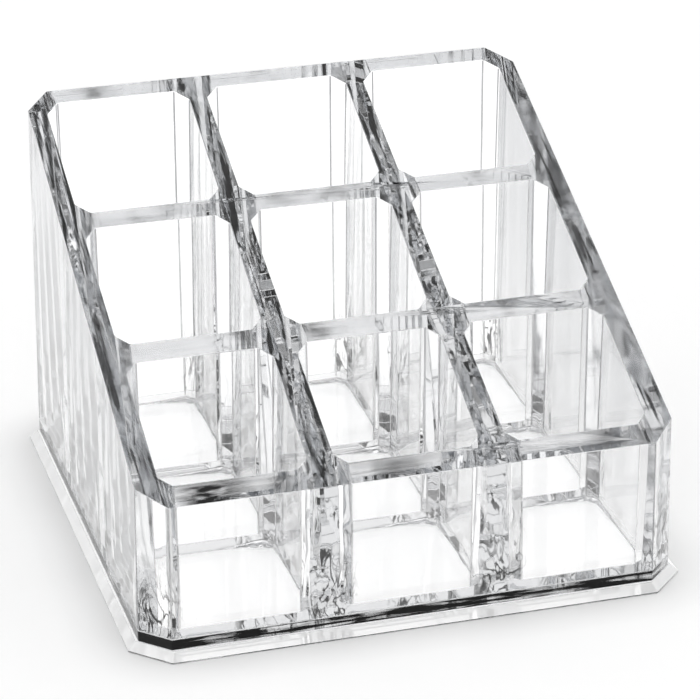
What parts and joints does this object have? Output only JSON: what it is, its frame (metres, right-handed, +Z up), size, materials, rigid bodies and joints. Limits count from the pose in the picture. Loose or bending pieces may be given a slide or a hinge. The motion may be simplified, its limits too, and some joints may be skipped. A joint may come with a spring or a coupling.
{
  "type": "vanity organizer",
  "caption": "Clear plastic vanity organizer with square cells under a slanting rim, rising toward the back, on a bevelled base plate, for lipsticks and slim cosmetic tubes.",
  "frame": {"origin": "on the table, under the middle of the base plate", "axes": "+Z up; +X to the right as seen from the low front; +Y toward the tall back"},
  "size_m": [0.0922, 0.0922, 0.0636],
  "materials": {
    "clear_block": "clear polished injection-moulded plastic, colourless with a faint cool tint, refractive, very slightly wavy flats and softly broken edges",
    "clear_plate": "clear polished moulded plastic plate with a bright bevelled foot, same colourless plastic as the block"
  },
  "bodies": {
    "root": {"cell_block": "clear_block", "base_plate": "clear_plate"}
  },
  "joints": []
}
